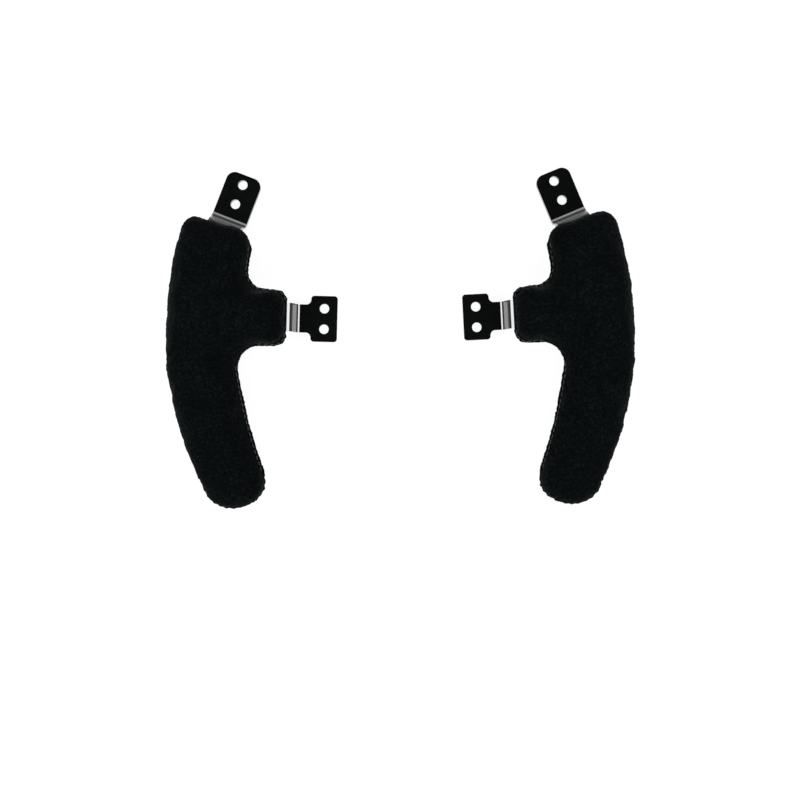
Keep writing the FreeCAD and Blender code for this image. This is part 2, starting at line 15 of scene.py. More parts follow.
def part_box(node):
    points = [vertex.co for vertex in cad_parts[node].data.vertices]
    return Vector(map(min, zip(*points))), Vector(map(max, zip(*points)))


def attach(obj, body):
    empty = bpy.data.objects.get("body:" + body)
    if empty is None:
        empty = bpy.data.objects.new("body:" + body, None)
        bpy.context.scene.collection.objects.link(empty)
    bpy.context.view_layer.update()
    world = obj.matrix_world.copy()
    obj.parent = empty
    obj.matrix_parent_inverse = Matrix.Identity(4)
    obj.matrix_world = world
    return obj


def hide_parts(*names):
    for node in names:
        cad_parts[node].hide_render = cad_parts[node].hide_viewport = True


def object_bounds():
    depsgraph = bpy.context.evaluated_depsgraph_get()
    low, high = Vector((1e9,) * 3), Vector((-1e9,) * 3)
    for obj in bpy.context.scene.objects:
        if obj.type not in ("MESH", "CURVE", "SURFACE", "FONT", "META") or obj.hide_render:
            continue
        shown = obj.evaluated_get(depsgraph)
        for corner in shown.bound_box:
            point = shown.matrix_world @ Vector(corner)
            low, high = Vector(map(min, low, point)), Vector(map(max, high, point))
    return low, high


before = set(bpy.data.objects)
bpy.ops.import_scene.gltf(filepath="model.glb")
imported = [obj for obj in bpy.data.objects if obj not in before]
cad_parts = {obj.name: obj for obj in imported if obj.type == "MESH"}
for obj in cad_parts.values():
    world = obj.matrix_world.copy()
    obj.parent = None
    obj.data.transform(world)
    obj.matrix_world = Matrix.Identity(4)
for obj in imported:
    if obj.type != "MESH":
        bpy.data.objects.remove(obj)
CAD_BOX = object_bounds()

MM = 0.001
SIDES = ("left", "right")
SEAMS = ("upper_seam_thread", "branch_seam_thread", "lower_seam_thread")
SAME_HEIGHT = 0.02 * MM                 # mesh points closer than this in height lie on one level

# The cover's section, from the frame: its middle plane and its half thickness.
LOW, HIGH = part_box("left_front_suede")
MIDDLE = LOW.z
HALF_THICKNESS = HIGH.z - LOW.z
FORM_LEVEL = MIDDLE + 6.6 * MM          # where the padded form's sides are upright in the CAD model
LIP_HALF = 1.1 * MM                     # half the thickness of the two suede layers in the lip
LIP_ROUNDING = 0.7 * MM                 # how far in from its edge the lip reaches its full thickness

# The padding's shape
ROLL = 13.5 * MM                        # how far in from the rim the cover keeps rising
ROLL_POWER = 2.35                       # 2 is a circular section, more is squarer
RIDGE_SMOOTHINGS = 60                   # passes that flatten the ridge along the form's middle
RIDGE_DEPTHS = (2.0 * MM, 9.0 * MM)     # the smoothing fades in between these depths
GRID = 0.45 * MM
GRID_MARGIN = 2.0 * MM
FINE_VOXEL = 0.5 * MM
FOAM_VOXEL = 1.6 * MM
FOAM_INSET = 1.7 * MM
BRANCH_BULGE = 0.55 * MM                # how far the padding leans out over the lip round the branch's end
BRANCH_END = (7.0 * MM, 12.0 * MM)      # the branch's end part fades out between these distances

# The suede's relief: the height in mm and the wavelength of each layer of bumps
NAP_ON_TOP = 0.16                       # how much of the nap's relief shows on the flat top; 1 on the sides
BUMP_SEEDS = 10                         # the layers' seeds are this far apart
NAP_SEED, GATHER_SEED, RAW_EDGE_SEED = 20, 40, 50       # added, so that no two reliefs share their noise
PADDING_BUMPS = ((0.16, 11.0 * MM), (0.10, 3.6 * MM))
NAP_BUMPS = ((0.18, 1.9 * MM), (0.30, 0.95 * MM))
RAW_EDGE_BUMPS = ((0.22, 1.5 * MM), (0.12, 0.7 * MM))
RAW_EDGE_SWELL = 0.18                   # mm that the raw edge stands out
RAW_EDGE_PARTING = 0.30                 # mm that it draws back where its two layers meet
RAW_EDGE_LINE = 0.35                    # mm, half the height of the line where they meet
RAW_EDGE = (0.2 * MM, 1.0 * MM)         # the raw edge's relief fades out between these depths
ON_LIP = (-0.4 * MM, 0.8 * MM)          # from padding to lip, as distances out from the form's edge
GATHERS = ((0.6, 3.3, 0.0), (0.4, 5.1, 1.0))    # share, pitch in mm and phase of each set of folds
GATHER_HEIGHT = 0.24                    # in mm
GATHER_WANDER = 1.3                     # mm that the folds stray from an even pitch
GATHER_WANDER_LENGTH = 6.0 * MM
NEAR_RIM = (1.0 * MM, 7.0 * MM)         # the gathers fade out between these depths
TIP_END = (9.0 * MM, 22.0 * MM)         # the tip fades out between these distances
OUTER_PITCH = 3.2 * MM                  # from stitch to stitch along the outer seam
GROOVE_RIM = (0.2 * MM, 1.6 * MM)       # the outer seam's groove fades out between these depths
GROOVE_HALF = 0.55                      # mm, half its height
GROOVE_DEPTH, GROOVE_OPENING = 0.34, 0.30       # mm, its mean depth and how much that changes at a stitch
GROOVE_SMOOTHING = 0.85                 # the share of the other relief that it takes away
LIP_START = 0.6 * MM                    # a lip this wide has no groove

# The sewing
STITCH_HALF = 1.2 * MM                  # half the length of a stitch between its two holes
STITCH_INWARD = 0.5 * MM                # the thread is pulled this far towards the padding
STITCH_LENGTHS = (0.96, 1.08)           # from the shortest to the longest, as shares of STITCH_HALF
STITCH_LEAN = 0.10                      # radians that a stitch may lean to either side
STITCH_SEED = 40                        # of the small differences between the stitches
STITCH_RINGS = 11
STITCH_TURN = 3.4                       # radians of twist from a stitch's middle to its end
STITCH_BOW, STITCH_DIP = 0.26 * MM, 0.60 * MM   # the bow in a stitch's middle, and how far its ends go down
PLY_OFFSET = 0.13 * MM                  # from a stitch's middle line to each of its two plies
PLY_RADIUS = 0.17 * MM
PLY_SIDES = 6
PLY_TIP, PLY_TAPER = 0.35, 3.0          # the share of its girth at its ends, and how fast that grows
DIMPLE_DEPTH = 0.25                     # in mm
DIMPLE_REACH = 0.6 * MM

# The cloth simulation
CLOTH_VOXEL = 2.4 * MM
CLOTH_SCALE = 10.0                      # the solver works better on a bigger object
CLOTH_FRAMES = 20
CLOTH_START = 0.92                      # the share of its full thickness that the cover starts with
SWELL_CAP = 1.3 * MM                    # no point moves further than this
CARRY_NEIGHBOURS = 14
CARRY_SOFTNESS = 1.0 * MM               # added to each distance, so that no one neighbour rules

# The studio: a round floor with a wall, four soft boxes and a camera straight above (metres, watts)
FLOOR_RADIUS, WALL_HEIGHT, WALL_BEND = 1.6, 1.15, 0.35
FLOOR_RINGS = (0.3, 0.8)
FLOOR_DROP = 0.05 * MM
FLOOR_SIDES, BEND_STEPS = 96, 8
BOX_AWAY, BOX_UP = 0.70, 0.66
BOX_SIZE = (0.70, 0.62)
BOX_POWERS = (("east", 0, 11.5), ("north", 90, 3.6), ("west", 180, 11.5), ("south", 270, 8.5))
LENS, SENSOR = 40.0, 36.0
VIEW_WIDTH = 384.0 * MM                 # what the picture's width shows at the inserts' level
CAMERA_OFFSET = (-0.63 * MM, -31.1 * MM)
CAMERA_ROLL = -0.75                     # degrees


# ---------------------------------------------------------------- outlines taken from the CAD meshes

def flat_key(point):
    """A point's place in plan, rounded so that split vertices meet."""
    return round(point[0], 7), round(point[1], 7)


def chain(edges):
    """Closed loops made of undirected edges between keys, the longest first."""
    beside = {}
    for a, b in edges:
        beside.setdefault(a, set()).add(b)
        beside.setdefault(b, set()).add(a)
    loops = []
    while beside:
        start = next(iter(beside))
        loop, here, before = [start], start, None
        while True:
            after = next((k for k in beside[here] if k != before and k not in loop[1:]), None)
            if after is None or after == start:
                break
            loop.append(after)
            before, here = here, after
        for key in loop:
            beside.pop(key, None)
        for near in beside.values():
            near.difference_update(loop)
        beside = {k: v for k, v in beside.items() if v}
        loops.append(np.array(loop))
    return sorted(loops, key=lambda pts: -loop_length(pts))


def loop_length(points):
    """How long a closed loop is."""
    return float(np.linalg.norm(points - np.roll(points, -1, axis=0), axis=1).sum())


def rim_loop(node, height):
    """The longest loop of a CAD node's mesh edges that run at one height."""
    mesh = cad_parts[node].data
    at_height = [abs(v.co.z - height) < SAME_HEIGHT for v in mesh.vertices]
    edges = set()
    for edge in mesh.edges:
        a, b = edge.vertices
        if at_height[a] and at_height[b]:
            keys = flat_key(mesh.vertices[a].co), flat_key(mesh.vertices[b].co)
            if keys[0] != keys[1]:
                edges.add(tuple(sorted(keys)))
    return chain(edges)[0]


def flat_face_loop(node, height):
    """The longest outline of a CAD node's flat faces at one height."""
    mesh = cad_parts[node].data
    count = {}
    for face in mesh.polygons:
        corners = [mesh.vertices[i].co for i in face.vertices]
        if all(abs(c.z - height) < SAME_HEIGHT for c in corners):
            keys = [flat_key(c) for c in corners]
            for a, b in zip(keys, keys[1:] + keys[:1]):
                pair = tuple(sorted((a, b)))
                count[pair] = count.get(pair, 0) + 1
    return chain([pair for pair, used in count.items() if used == 1])[0]


def depth_inside(points, loop):
    """How deep each point lies inside a loop (negative outside), and how far along the loop."""
    x, y = points[:, 0], points[:, 1]
    best = np.full(len(points), np.inf)
    along = np.zeros(len(points))
    inside = np.zeros(len(points), bool)
    walked = 0.0
    for (ax, ay), (bx, by) in zip(loop, np.roll(loop, -1, axis=0)):
        run_x, run_y = bx - ax, by - ay
        length = math.hypot(run_x, run_y)
        share = np.clip(((x - ax) * run_x + (y - ay) * run_y) / length**2, 0.0, 1.0)
        away = np.hypot(x - ax - share * run_x, y - ay - share * run_y)
        nearer = away < best
        best = np.where(nearer, away, best)
        along = np.where(nearer, walked + share * length, along)
        if ay != by:
            crosses = (ay > y) != (by > y)
            inside ^= crosses & (x < run_x * (y - ay) / run_y + ax)
        walked += length
    return np.where(inside, best, -best), along


# ---------------------------------------------------------------- mesh helpers

def mesh_object(name, vertices, faces):
    """A new mesh object in the scene."""
    mesh = bpy.data.meshes.new(name)
    mesh.from_pydata([tuple(v) for v in vertices], [], faces)
    mesh.update()
    item = bpy.data.objects.new(name, mesh)
    bpy.context.scene.collection.objects.link(item)
    return item


def bake_modifiers(item):
    """Replace an object's mesh by what its modifiers make of it."""
    graph = bpy.context.evaluated_depsgraph_get()
    mesh = bpy.data.meshes.new_from_object(item.evaluated_get(graph))
    item.modifiers.clear()
    old, item.data = item.data, mesh
    mesh.name = item.name
    bpy.data.meshes.remove(old)


def voxel_remesh(item, size):
    """One closed mesh of even faces in place of an object's own."""
    remesh = item.modifiers.new("Remesh", "REMESH")
    remesh.mode = "VOXEL"
    remesh.voxel_size = size
    bake_modifiers(item)


def coordinates(mesh):
    """Where a mesh's vertices are, one to a row."""
    values = np.empty(len(mesh.vertices) * 3)
    mesh.vertices.foreach_get("co", values)
    return values.reshape(-1, 3)


def normals(mesh):
    """Which way a mesh's vertices face, one to a row."""
    values = np.empty(len(mesh.vertices) * 3)
    mesh.vertices.foreach_get("normal", values)
    return values.reshape(-1, 3)


def set_coordinates(mesh, points):
    """Give a mesh's vertices new places."""
    mesh.vertices.foreach_set("co", np.ascontiguousarray(points, float).ravel())
    mesh.update()


def shade_smooth(item):
    """Smooth shading on every face."""
    item.data.polygons.foreach_set("use_smooth", [True] * len(item.data.polygons))


def noise_field(points, wavelength, seed):
    """Smooth noise between about -1 and 1 at each point, with a seed of its own."""
    offset = Vector((seed * 17.3, seed * 5.1, seed * 9.7))
    return np.array([noise.noise(Vector(p) / wavelength + offset) for p in points])


def bumps(points, layers, seed):
    """The sum of a few layers of smooth noise, each with its height and its wavelength."""
    return sum(height * noise_field(points, wavelength, seed + BUMP_SEEDS * step)
               for step, (height, wavelength) in enumerate(layers))


def smooth_step(value, low, high):
    """0 up to low, 1 from high on, and a smooth rise between them."""
    share = np.clip((value - low) / (high - low), 0.0, 1.0)
    return share * share * (3.0 - 2.0 * share)


# ---------------------------------------------------------------- the padded cover

class Plan:
    """A grip seen in plan: its padded form and its sewn lip, as depths that can be read anywhere."""

    def __init__(self, side):
        node = side + "_front_suede"
        self.form = rim_loop(node, FORM_LEVEL)
        self.lip = flat_face_loop(node, MIDDLE + LIP_HALF)
        low = np.minimum(self.form.min(0), self.lip.min(0)) - GRID_MARGIN
        high = np.maximum(self.form.max(0), self.lip.max(0)) + GRID_MARGIN
        self.columns = np.arange(low[0], high[0], GRID)
        self.rows = np.arange(low[1], high[1], GRID)
        gx, gy = np.meshgrid(self.columns, self.rows, indexing="ij")
        self.shape = gx.shape
        self.points = np.c_[gx.ravel(), gy.ravel()]
        to_middle = self.points[:, 0] * (1.0 if side == "left" else -1.0)
        self.to_branch = 1.0 - smooth_step(to_middle.max() - GRID_MARGIN - to_middle, *BRANCH_END)
        self.form_depth, _ = depth_inside(self.points, self.form)
        self.form_depth += BRANCH_BULGE * self.to_branch
        lip_depth, _ = depth_inside(self.points, self.lip)
        self.edge_depth = np.maximum(self.form_depth, lip_depth)

    def read(self, values, points):
        """Bilinear reading of a grid of values at points in plan."""
        grid = values.reshape(self.shape)
        # The readings stay just inside the grid's last cells.
        u = np.clip((points[:, 0] - self.columns[0]) / GRID, 0, self.shape[0] - 1.001)
        v = np.clip((points[:, 1] - self.rows[0]) / GRID, 0, self.shape[1] - 1.001)
        i, j = u.astype(int), v.astype(int)
        a, b = u - i, v - j
        low = grid[i, j] * (1 - b) + grid[i, j + 1] * b
        high = grid[i + 1, j] * (1 - b) + grid[i + 1, j + 1] * b
        return low * (1 - a) + high * a

    def inward(self, points):
        """Unit direction from each point towards the deeper inside of the padded form."""
        way = self.slope(self.form_depth)
        return np.c_[self.read(way[:, 0], points), self.read(way[:, 1], points)]

    def slope(self, values):
        """Unit direction in which a depth grows, at each grid point."""
        gx, gy = np.gradient(values.reshape(self.shape), GRID)
        size = np.maximum(np.hypot(gx, gy), 1e-6)
        return np.c_[(gx / size).ravel(), (gy / size).ravel()]


def rolled(depth, reach, power):
    """A rim's profile: 0 at the edge, 1 once the depth passes reach."""
    share = 1.0 - np.clip(depth / reach, 0.0, 1.0)
    return (1.0 - share**power) ** (1.0 / power)


def soft_depth(plan, depth):
    """The form's depth with the ridge along its middle smoothed away."""
    grid = np.clip(depth, 0.0, None).reshape(plan.shape)
    for _ in range(RIDGE_SMOOTHINGS):
        padded = np.pad(grid, 1, mode="edge")
        mean = (padded[:-2, 1:-1] + padded[2:, 1:-1] + padded[1:-1, :-2] + padded[1:-1, 2:]) / 4
        share = smooth_step(grid, *RIDGE_DEPTHS)
        grid = grid * (1 - share) + mean * share
    return grid.ravel()


def sack(name, plan, inset, thickness, with_lip):
    """A closed, pillow-like mesh over the plan, inset by some depth."""
    form = plan.form_depth - inset
    edge = plan.edge_depth if with_lip else form
    half = thickness * rolled(soft_depth(plan, form), ROLL - inset, ROLL_POWER)
    half = np.where(form > 0, half, 0.0)
    if with_lip:
        lip = LIP_HALF * rolled(edge, LIP_ROUNDING, 2.0)
        half = (half**4 + lip**4) ** 0.25
    inside = edge > 0
    grid = inside.reshape(plan.shape)
    keep = grid[:-1, :-1] | grid[1:, :-1] | grid[:-1, 1:] | grid[1:, 1:]
    spots = plan.points - np.where(inside, 0.0, edge)[:, None] * plan.slope(edge)
    half = np.where(inside, half, 0.0)
    width = plan.shape[1]
    front, rear, vertices = {}, {}, []
    faces = []

    def corner(index, table, sign):
        if index not in table:
            table[index] = len(vertices)
            x, y = spots[index]
            vertices.append((x, y, MIDDLE + sign * half[index]))
            if not inside[index]:
                front[index] = rear[index] = table[index]
        return table[index]

    for i, j in zip(*np.nonzero(keep)):
        a = i * width + j
        ring = (a, a + width, a + width + 1, a + 1)
        faces.append([corner(k, front, 1) for k in ring])
        faces.append([corner(k, rear, -1) for k in reversed(ring)])
    return mesh_object(name, vertices, faces)


def swell(plan, side):
    """Blow up a coarse sack as cloth; gives its points before, and how far each one moved."""
    item = sack(side + "_cloth", plan, 0.0, HALF_THICKNESS * CLOTH_START, with_lip=False)
    voxel_remesh(item, CLOTH_VOXEL)
    start = coordinates(item.data)
    centre = np.array([0.0, 0.0, MIDDLE])
    set_coordinates(item.data, (start - centre) * CLOTH_SCALE)
    group = item.vertex_groups.new(name="seam")
    held = [int(i) for i in np.nonzero(np.abs(start[:, 2] - MIDDLE) < CLOTH_VOXEL)[0]]
    group.add(held, 1.0, "REPLACE")
    cloth = item.modifiers.new("Cloth", "CLOTH")
    settings = cloth.settings
    settings.quality = 8
    settings.mass = 0.3
    settings.tension_stiffness = 12.0
    settings.compression_stiffness = 6.0
    settings.bending_stiffness = 0.4
    settings.vertex_group_mass = "seam"
    settings.use_pressure = True
    settings.uniform_pressure_force = 4.0
    settings.shrink_min = -0.06
    settings.effector_weights.gravity = 0.0
    cloth.collision_settings.use_collision = False
    cloth.collision_settings.use_self_collision = False
    cloth.point_cache.frame_start = 1
    cloth.point_cache.frame_end = CLOTH_FRAMES
    for step in range(1, CLOTH_FRAMES + 1):
        bpy.context.scene.frame_set(step)
    bake_modifiers(item)
    bpy.context.scene.frame_set(1)
    moved = coordinates(item.data) / CLOTH_SCALE + centre - start
    size = np.maximum(np.linalg.norm(moved, axis=1), 1e-9)
    moved *= (np.minimum(size, SWELL_CAP) / size)[:, None]
    print("cloth %s: %d points, mean move %.2f mm, most %.2f mm" % (
        side, len(start), size.mean() / MM, size.max() / MM))
    bpy.data.objects.remove(item)
    return start, moved


def carry(points, anchors, moves):
    """Moves known at anchors, carried to other points by nearness."""
    tree = KDTree(len(anchors))
    for index, anchor in enumerate(anchors):
        tree.insert(anchor, index)
    tree.balance()
    result = np.zeros_like(points)
    for row, point in enumerate(points):
        near = tree.find_n(point, CARRY_NEIGHBOURS)
        weights = np.array([1.0 / (distance + CARRY_SOFTNESS) ** 2 for _, _, distance in near])
        result[row] = (weights[:, None] * moves[[index for _, index, _ in near]]).sum(0) / weights.sum()
    return result


def islands(mesh):
    """The points of each separate piece of a mesh, with split vertices joined."""
    keys = [tuple(round(c, 7) for c in v.co) for v in mesh.vertices]
    leader = {key: key for key in keys}

    def root(key):
        while leader[key] != key:
            key = leader[key]
        return key

    for face in mesh.polygons:
        first = root(keys[face.vertices[0]])
        for index in face.vertices[1:]:
            leader[root(keys[index])] = first
    groups = {}
    for key in sorted(leader):
        groups.setdefault(root(key), []).append(key)
    return [np.array(points) for points in groups.values()]


def stitch_places(side, plan):
    """Each seam's stitches, one to a CAD stitch bar: a list of (middle, direction, on the front)."""
    rows = {}
    for seam in SEAMS:
        bars = islands(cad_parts["%s_%s" % (side, seam)].data)
        middles = np.array([points.mean(0) for points in bars])
        pull = STITCH_INWARD - BRANCH_BULGE * plan.read(plan.to_branch, middles)
        middles[:, :2] += plan.inward(middles) * pull[:, None]
        rows[seam] = []
        for points, middle in zip(bars, middles):
            _, _, axes = np.linalg.svd(points - points.mean(0))
            rows[seam].append((middle, axes[0], middle[2] > MIDDLE))
    return rows


def outer_groove(form, edge, height, on_lip):
    """How far each point is in the outer seam's groove, along the middle of the rim that has no lip."""
    has_lip = smooth_step(edge - np.maximum(form, 0.0), 0.0, LIP_START)
    at_rim = 1.0 - smooth_step(np.abs(form), *GROOVE_RIM)
    return np.exp(-(height / GROOVE_HALF) ** 2) * at_rim * (1.0 - has_lip) * (1.0 - on_lip)


def gathers(plan, points, edge, along, seed):
    """Folds where the panels are drawn round the branch's end and round the tip, between -1 and 1."""
    to_branch = plan.read(plan.to_branch, points)
    to_tip = 1.0 - smooth_step(points[:, 1] - points[:, 1].min(), *TIP_END)
    near_rim = 1.0 - smooth_step(edge, *NEAR_RIM)
    phase = along / MM + GATHER_WANDER * noise_field(points, GATHER_WANDER_LENGTH, seed)
    folds = sum(np.sin(2 * math.pi * phase / pitch + start) * share for share, pitch, start in GATHERS)
    return folds * near_rim * np.maximum(to_branch, to_tip)


def dimples(points, stitches):
    """How far each point is in a stitch's hole: 1 in its middle."""
    tree = KDTree(2 * sum(len(row) for row in stitches.values()))
    for row in stitches.values():
        for middle, way, _ in row:
            for end in (-STITCH_HALF, STITCH_HALF):
                tree.insert(middle + way * end, 0)
    tree.balance()
    reach = np.array([tree.find(point)[2] for point in points])
    return np.exp(-(reach / DIMPLE_REACH) ** 2)


def shape_cover(item, plan, side, stitches):
    """The suede's own relief: uneven padding, gathers, the raw edge of the lip, seams and nap."""
    mesh = item.data
    points = coordinates(mesh)
    anchors, moves = swell(plan, side)
    points = points + carry(points, anchors, moves)
    set_coordinates(mesh, points)
    out = normals(mesh)
    seed = SIDES.index(side) + 1
    form = plan.read(plan.form_depth, points)
    edge = plan.read(plan.edge_depth, points)
    _, along = depth_inside(points[:, :2], plan.form)
    height = (points[:, 2] - MIDDLE) / MM
    on_lip = smooth_step(-form, *ON_LIP)

    # The nap stands up most where the suede turns over the rim.
    nap = NAP_ON_TOP + (1.0 - NAP_ON_TOP) * (1.0 - np.abs(out[:, 2]))
    lift = bumps(points, PADDING_BUMPS, seed) + nap * bumps(points, NAP_BUMPS, seed + NAP_SEED)

    # The outer seam's groove is smooth, and open at every stitch.
    groove = outer_groove(form, edge, height, on_lip)
    lift *= 1.0 - GROOVE_SMOOTHING * groove
    lift -= groove * (GROOVE_DEPTH + GROOVE_OPENING * np.sin(2 * math.pi * along / OUTER_PITCH))

    lift += GATHER_HEIGHT * gathers(plan, points, edge, along, seed + GATHER_SEED)
    lift -= DIMPLE_DEPTH * dimples(points, stitches)
    points = points + out * (lift * MM)[:, None]

    # The lip's cut edge is ragged, and its two layers part a little.
    rim = on_lip * (1.0 - smooth_step(edge, *RAW_EDGE))
    ragged = RAW_EDGE_SWELL + bumps(points, RAW_EDGE_BUMPS, seed + RAW_EDGE_SEED)
    ragged -= RAW_EDGE_PARTING * np.exp(-(height / RAW_EDGE_LINE) ** 2)
    points = points + out * (rim * ragged * MM)[:, None]
    points[:, 2] = np.maximum(points[:, 2], CAD_BOX[0][2])
    set_coordinates(mesh, points)


def make_cover(side, plan, stitches):
    """A grip's whole suede: both panels, sewn together and padded."""
    start = CLOTH_START
    item = sack(side + "_suede_cover", plan, 0.0, HALF_THICKNESS * start, with_lip=True)
    voxel_remesh(item, FINE_VOXEL)
    shape_cover(item, plan, side, stitches)
    shade_smooth(item)
    return item


def make_foam(side, plan):
    """The foam core that fills the cover."""
    item = sack(side + "_foam_core", plan, FOAM_INSET, HALF_THICKNESS - FOAM_INSET, with_lip=False)
    voxel_remesh(item, FOAM_VOXEL)
    shade_smooth(item)
    return item


# ---------------------------------------------------------------- the stitches

def strand(vertices, faces, path):
    """One ply: a closed tube along a list of points, thinner towards its ends."""
    base, rings, sides = len(vertices), len(path), PLY_SIDES
    for k, point in enumerate(path):
        before, after = path[max(k - 1, 0)], path[min(k + 1, rings - 1)]
        way = (after - before).normalized()
        across = way.cross(Vector((0, 0, 1))).normalized()
        up = across.cross(way)
        share = k / (rings - 1)
        girth = PLY_RADIUS * min(1.0, PLY_TIP + PLY_TAPER * min(share, 1.0 - share))
        for n in range(sides):
            turn = 2 * math.pi * n / sides
            vertices.append(point + across * (girth * math.cos(turn)) + up * (girth * math.sin(turn)))
    for k in range(rings - 1):
        for n in range(sides):
            a, b = base + k * sides + n, base + k * sides + (n + 1) % sides
            faces.append((a, a + sides, b + sides, b))
    faces.append(tuple(base + n for n in range(sides)))
    faces.append(tuple(base + (rings - 1) * sides + n for n in reversed(range(sides))))


def make_stitch_row(side, seam, stitches, surface, rng):
    """A row of two-ply stitches, each bowed over the suede from hole to hole."""
    vertices, faces = [], []
    for place, way, front in stitches:
        up = Vector((0, 0, 1.0 if front else -1.0))
        middle = Vector(place)
        middle.z = surface(middle, front)
        turn = math.atan2(way[1], way[0]) + rng.uniform(-STITCH_LEAN, STITCH_LEAN)
        run = Vector((math.cos(turn), math.sin(turn), 0.0))
        across = run.cross(up)
        reach = STITCH_HALF * rng.uniform(*STITCH_LENGTHS)
        start = rng.uniform(0.0, math.pi)
        for ply in (0.0, math.pi):
            path = []
            for k in range(STITCH_RINGS):
                share = 2.0 * k / (STITCH_RINGS - 1) - 1.0
                twist = start + ply + share * STITCH_TURN
                bow = STITCH_BOW - STITCH_DIP * abs(share) ** 3
                point = middle + run * (share * reach) + up * bow
                path.append(point + (across * math.cos(twist) + up * math.sin(twist)) * PLY_OFFSET)
            strand(vertices, faces, path)
    item = mesh_object("%s_%s_stitches" % (side, seam.replace("_thread", "")), vertices, faces)
    shade_smooth(item)
    return item


# ---------------------------------------------------------------- materials

def new_material(name):
    """A material with its Principled shader, and a function that adds a node to it."""
    material = bpy.data.materials.new(name)
    material.use_nodes = True
    tree = material.node_tree
    shader = tree.nodes["Principled BSDF"]

    def add(kind, **values):
        node = tree.nodes.new(kind)
        for key, value in values.items():
            if key in node.inputs:
                node.inputs[key].default_value = value
            else:
                setattr(node, key, value)
        return node

    return material, tree, shader, add


def noise_texture(tree, add, coordinate, scale, detail, roughness=0.6):
    """The value of a Noise Texture node."""
    node = add("ShaderNodeTexNoise", Scale=scale, Detail=detail, Roughness=roughness)
    tree.links.new(coordinate, node.inputs["Vector"])
    return node.outputs["Fac"]


def ramp(tree, add, source, stops):
    """A value turned into a colour, by stops of (place, colour)."""
    node = add("ShaderNodeValToRGB")
    elements = node.color_ramp.elements
    while len(elements) < len(stops):
        elements.new(0.5)
    for element, (place, color) in zip(elements, stops):
        element.position = place
        element.color = (*color, 1.0)
    tree.links.new(source, node.inputs["Fac"])
    return node.outputs["Color"]


def combine(tree, add, a, b, operation):
    """Two values joined by a Math node."""
    node = add("ShaderNodeMath", operation=operation)
    tree.links.new(a, node.inputs[0])
    tree.links.new(b, node.inputs[1])
    return node.outputs[0]


def spread(tree, add, source, source_range, target_range):
    """A value stretched from one range to another."""
    node = add("ShaderNodeMapRange")
    node.inputs["From Min"].default_value, node.inputs["From Max"].default_value = source_range
    node.inputs["To Min"].default_value, node.inputs["To Max"].default_value = target_range
    tree.links.new(source, node.inputs["Value"])
    return node.outputs["Result"]


def add_bump(tree, add, shader, height, strength, distance):
    """Fine relief in a shader's normal."""
    node = add("ShaderNodeBump", Strength=strength, Distance=distance)
    tree.links.new(height, node.inputs["Height"])
    tree.links.new(node.outputs["Normal"], shader.inputs["Normal"])


def suede_material():
    """Black suede: a short, uneven nap, lighter and darker where it was brushed different ways."""
    material, tree, shader, add = new_material("black_suede")
    place = add("ShaderNodeTexCoord").outputs["Object"]
    clumps = noise_texture(tree, add, place, 760.0, 3.0, 0.6)
    fibres = noise_texture(tree, add, place, 2600.0, 3.0, 0.7)
    brushed = spread(tree, add, noise_texture(tree, add, place, 75.0, 2.0), (0.3, 0.7), (0.90, 1.12))
    tone = combine(tree, add, clumps, fibres, "MULTIPLY")
    tone = combine(tree, add, tone, brushed, "MULTIPLY")
    shadow, base, shine = (0.0005, 0.0007, 0.0008), (0.0012, 0.0016, 0.0017), (0.0040, 0.0052, 0.0055)
    stops = ((0.14, shadow), (0.28, base), (0.42, shine))
    tree.links.new(ramp(tree, add, tone, stops), shader.inputs["Base Color"])
    shader.inputs["Roughness"].default_value = 0.96
    shader.inputs["Specular IOR Level"].default_value = 0.008
    shader.inputs["Sheen Weight"].default_value = 0.035
    shader.inputs["Sheen Roughness"].default_value = 0.35
    shader.inputs["Sheen Tint"].default_value = (0.80, 0.95, 0.90, 1.0)
    relief = combine(tree, add, clumps, fibres, "ADD")
    add_bump(tree, add, shader, relief, 0.55, 0.30 * MM)
    return material


def steel_material():
    """Gloss black paint over pressed steel, with the faintest orange peel."""
    material, tree, shader, add = new_material("gloss_black_paint")
    place = add("ShaderNodeTexCoord").outputs["Object"]
    cloud = noise_texture(tree, add, place, 60.0, 3.0)
    stops = ((0.3, (0.0008, 0.0010, 0.0010)), (0.7, (0.0016, 0.0019, 0.0018)))
    tree.links.new(ramp(tree, add, cloud, stops), shader.inputs["Base Color"])
    smudge = noise_texture(tree, add, place, 240.0, 5.0, 0.7)
    stops = ((0.35, (0.06, 0.06, 0.06)), (0.75, (0.14, 0.14, 0.14)))
    tree.links.new(ramp(tree, add, smudge, stops), shader.inputs["Roughness"])
    shader.inputs["Specular IOR Level"].default_value = 0.6
    shader.inputs["Coat Weight"].default_value = 1.0
    shader.inputs["Coat Roughness"].default_value = 0.06
    shader.inputs["Coat IOR"].default_value = 1.6
    peel = noise_texture(tree, add, place, 900.0, 2.0)
    add_bump(tree, add, shader, peel, 0.06, 0.05 * MM)
    return material


def thread_material():
    """Waxed charcoal thread: fine fibres and a soft shine."""
    material, tree, shader, add = new_material("charcoal_thread")
    place = add("ShaderNodeTexCoord").outputs["Object"]
    fibres = noise_texture(tree, add, place, 3200.0, 3.0)
    stops = ((0.3, (0.008, 0.009, 0.009)), (0.7, (0.026, 0.029, 0.028)))
    tree.links.new(ramp(tree, add, fibres, stops), shader.inputs["Base Color"])
    shader.inputs["Roughness"].default_value = 0.5
    shader.inputs["Specular IOR Level"].default_value = 0.2
    shader.inputs["Sheen Weight"].default_value = 0.06
    add_bump(tree, add, shader, fibres, 0.5, 0.08 * MM)
    return material


